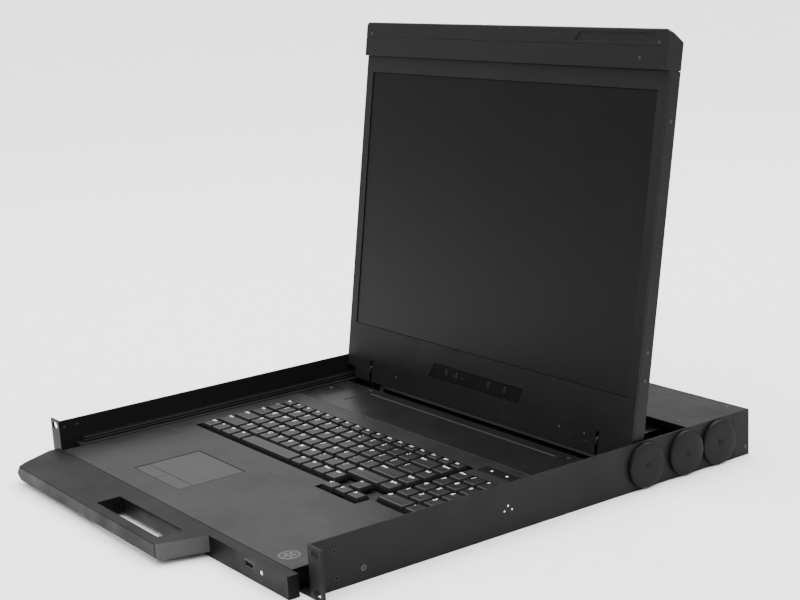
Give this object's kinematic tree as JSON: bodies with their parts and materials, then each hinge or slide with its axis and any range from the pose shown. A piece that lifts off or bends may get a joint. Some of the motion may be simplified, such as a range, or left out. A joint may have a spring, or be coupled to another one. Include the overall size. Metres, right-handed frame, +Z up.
{
  "type": "rack console drawer",
  "caption": "Rack-mount console switch in a sliding drawer, with fold-up screen, keyboard, touchpad, front handle and rear port box.",
  "frame": {"origin": "bottom centre of the box round the whole object, on the surface it stands on", "axes": "+X to the right seen from the front, +Y towards the rear connector panel, +Z up"},
  "size_m": [0.4826, 0.5412, 0.3941],
  "materials": {
    "black_paint": "fine textured black powder coat",
    "deck_paint": "satin dark grey-black paint",
    "bare_steel": "zinc-plated sheet steel",
    "black_steel": "blackened slide rail steel",
    "handle_black": "satin moulded black",
    "black_plastic": "fine matt",
    "key_plastic": "fine matt key plastic",
    "pad_plastic": "smooth satin touch surface",
    "screen_surface": "anti-glare dark screen",
    "panel_body": "metal-backed display module",
    "circuit_board": "solder mask",
    "indicator_lens": "clear moulded lens"
  },
  "bodies": {
    "chassis": {"chassis_pan": "black_paint", "rear_panel": "black_paint", "rear_cover": "deck_paint", "rear_bulkhead": "bare_steel", "side_disc_left_1": "black_paint", "side_disc_left_2": "black_paint", "side_disc_left_3": "black_paint", "side_disc_right_1": "black_paint", "side_disc_right_2": "black_paint", "side_disc_right_3": "black_paint", "outer_rail_left": "black_steel", "outer_rail_right": "black_steel", "switch_board": "circuit_board", "power_supply": "bare_steel", "host_port_bank": "black_plastic", "console_port_block": "black_plastic", "power_inlet": "black_plastic"},
    "power_rocker": {"power_rocker": "black_plastic"},
    "mid_rails": {"mid_rail_left": "black_steel", "mid_rail_right": "black_steel"},
    "drawer": {"drawer_pan": "black_paint", "deck_plate": "deck_paint", "hinge_cover": "deck_paint", "front_handle": "handle_black", "usb_socket": "bare_steel", "status_led": "indicator_lens", "inner_rail_left": "black_steel", "inner_rail_right": "black_steel", "hinge_bracket_left": "black_steel", "hinge_bracket_right": "black_steel", "touchpad": "pad_plastic", "keyboard_base": "black_plastic", "indicator_window": "screen_surface"},
    "pad_button_left": {"pad_button_left": "pad_plastic"},
    "pad_button_right": {"pad_button_right": "pad_plastic"},
    "function_keys": {"function_keys": "key_plastic"},
    "number_keys": {"number_keys": "key_plastic"},
    "top_letter_keys": {"top_letter_keys": "key_plastic"},
    "home_letter_keys": {"home_letter_keys": "key_plastic"},
    "bottom_letter_keys": {"bottom_letter_keys": "key_plastic"},
    "left_modifier_keys": {"left_modifier_keys": "key_plastic"},
    "right_modifier_keys": {"right_modifier_keys": "key_plastic"},
    "navigation_keys": {"navigation_keys": "key_plastic"},
    "enter_key": {"enter_key": "key_plastic"},
    "space_bar": {"space_bar": "key_plastic"},
    "arrow_keys": {"arrow_keys": "key_plastic"},
    "numpad_keys": {"numpad_keys": "key_plastic"},
    "lid": {"lid_back_cover": "black_paint", "lid_bezel": "black_paint", "lid_band": "black_paint", "screen_glass": "screen_surface", "lcd_panel": "panel_body", "osd_panel": "black_plastic", "hinge_arm_left": "bare_steel", "hinge_arm_right": "bare_steel"},
    "osd_button_1": {"osd_button_1": "key_plastic"},
    "osd_button_2": {"osd_button_2": "key_plastic"},
    "osd_button_3": {"osd_button_3": "key_plastic"},
    "osd_button_4": {"osd_button_4": "key_plastic"}
  },
  "joints": [
    {"name": "drawer_slide", "type": "slide", "parent": "chassis", "child": "drawer", "axis": [0, -1, 0], "range_m": [0, 0.4]},
    {"name": "mid_rail_slide", "type": "slide", "parent": "chassis", "child": "mid_rails", "axis": [0, -1, 0], "range_m": [0, 0.2]},
    {"name": "lid_hinge", "type": "hinge", "parent": "drawer", "child": "lid", "pos_m": [0, 0.13085, 0.0341], "axis": [1, 0, 0], "range_deg": [-15, 99]},
    {"name": "power_switch", "type": "hinge", "parent": "chassis", "child": "power_rocker", "pos_m": [-0.164, 0.26465, 0.0218], "axis": [1, 0, 0], "range_deg": [0, 14]},
    {"name": "pad_click_left", "type": "slide", "parent": "drawer", "child": "pad_button_left", "axis": [0, 0, -1], "range_m": [0, 0.0008], "stiffness_N_per_m": 900, "springref_m": -0.0006},
    {"name": "pad_click_right", "type": "slide", "parent": "drawer", "child": "pad_button_right", "axis": [0, 0, -1], "range_m": [0, 0.0008], "stiffness_N_per_m": 900, "springref_m": -0.0006},
    {"name": "function_press", "type": "slide", "parent": "drawer", "child": "function_keys", "axis": [0, 0, -1], "range_m": [0, 0.002], "stiffness_N_per_m": 1200, "springref_m": -0.0008},
    {"name": "number_press", "type": "slide", "parent": "drawer", "child": "number_keys", "axis": [0, 0, -1], "range_m": [0, 0.002], "stiffness_N_per_m": 1200, "springref_m": -0.0008},
    {"name": "top_letter_press", "type": "slide", "parent": "drawer", "child": "top_letter_keys", "axis": [0, 0, -1], "range_m": [0, 0.002], "stiffness_N_per_m": 1200, "springref_m": -0.0008},
    {"name": "home_letter_press", "type": "slide", "parent": "drawer", "child": "home_letter_keys", "axis": [0, 0, -1], "range_m": [0, 0.002], "stiffness_N_per_m": 1200, "springref_m": -0.0008},
    {"name": "bottom_letter_press", "type": "slide", "parent": "drawer", "child": "bottom_letter_keys", "axis": [0, 0, -1], "range_m": [0, 0.002], "stiffness_N_per_m": 1200, "springref_m": -0.0008},
    {"name": "left_modifier_press", "type": "slide", "parent": "drawer", "child": "left_modifier_keys", "axis": [0, 0, -1], "range_m": [0, 0.002], "stiffness_N_per_m": 800, "springref_m": -0.0008},
    {"name": "right_modifier_press", "type": "slide", "parent": "drawer", "child": "right_modifier_keys", "axis": [0, 0, -1], "range_m": [0, 0.002], "stiffness_N_per_m": 800, "springref_m": -0.0008},
    {"name": "navigation_press", "type": "slide", "parent": "drawer", "child": "navigation_keys", "axis": [0, 0, -1], "range_m": [0, 0.002], "stiffness_N_per_m": 800, "springref_m": -0.0008},
    {"name": "enter_press", "type": "slide", "parent": "drawer", "child": "enter_key", "axis": [0, 0, -1], "range_m": [0, 0.002], "stiffness_N_per_m": 500, "springref_m": -0.0008},
    {"name": "space_press", "type": "slide", "parent": "drawer", "child": "space_bar", "axis": [0, 0, -1], "range_m": [0, 0.002], "stiffness_N_per_m": 500, "springref_m": -0.0008},
    {"name": "arrow_press", "type": "slide", "parent": "drawer", "child": "arrow_keys", "axis": [0, 0, -1], "range_m": [0, 0.002], "stiffness_N_per_m": 800, "springref_m": -0.0008},
    {"name": "numpad_press", "type": "slide", "parent": "drawer", "child": "numpad_keys", "axis": [0, 0, -1], "range_m": [0, 0.002], "stiffness_N_per_m": 1200, "springref_m": -0.0008},
    {"name": "osd_press_1", "type": "slide", "parent": "lid", "child": "osd_button_1", "axis": [0, 0.9877, -0.1564], "range_m": [0, 0.0008], "stiffness_N_per_m": 500, "springref_m": -0.0006},
    {"name": "osd_press_2", "type": "slide", "parent": "lid", "child": "osd_button_2", "axis": [0, 0.9877, -0.1564], "range_m": [0, 0.0008], "stiffness_N_per_m": 500, "springref_m": -0.0006},
    {"name": "osd_press_3", "type": "slide", "parent": "lid", "child": "osd_button_3", "axis": [0, 0.9877, -0.1564], "range_m": [0, 0.0008], "stiffness_N_per_m": 500, "springref_m": -0.0006},
    {"name": "osd_press_4", "type": "slide", "parent": "lid", "child": "osd_button_4", "axis": [0, 0.9877, -0.1564], "range_m": [0, 0.0008], "stiffness_N_per_m": 500, "springref_m": -0.0006}
  ],
  "couplings": [
    {"joint": "mid_rail_slide", "follows": "drawer_slide", "ratio": 0.5}
  ]
}
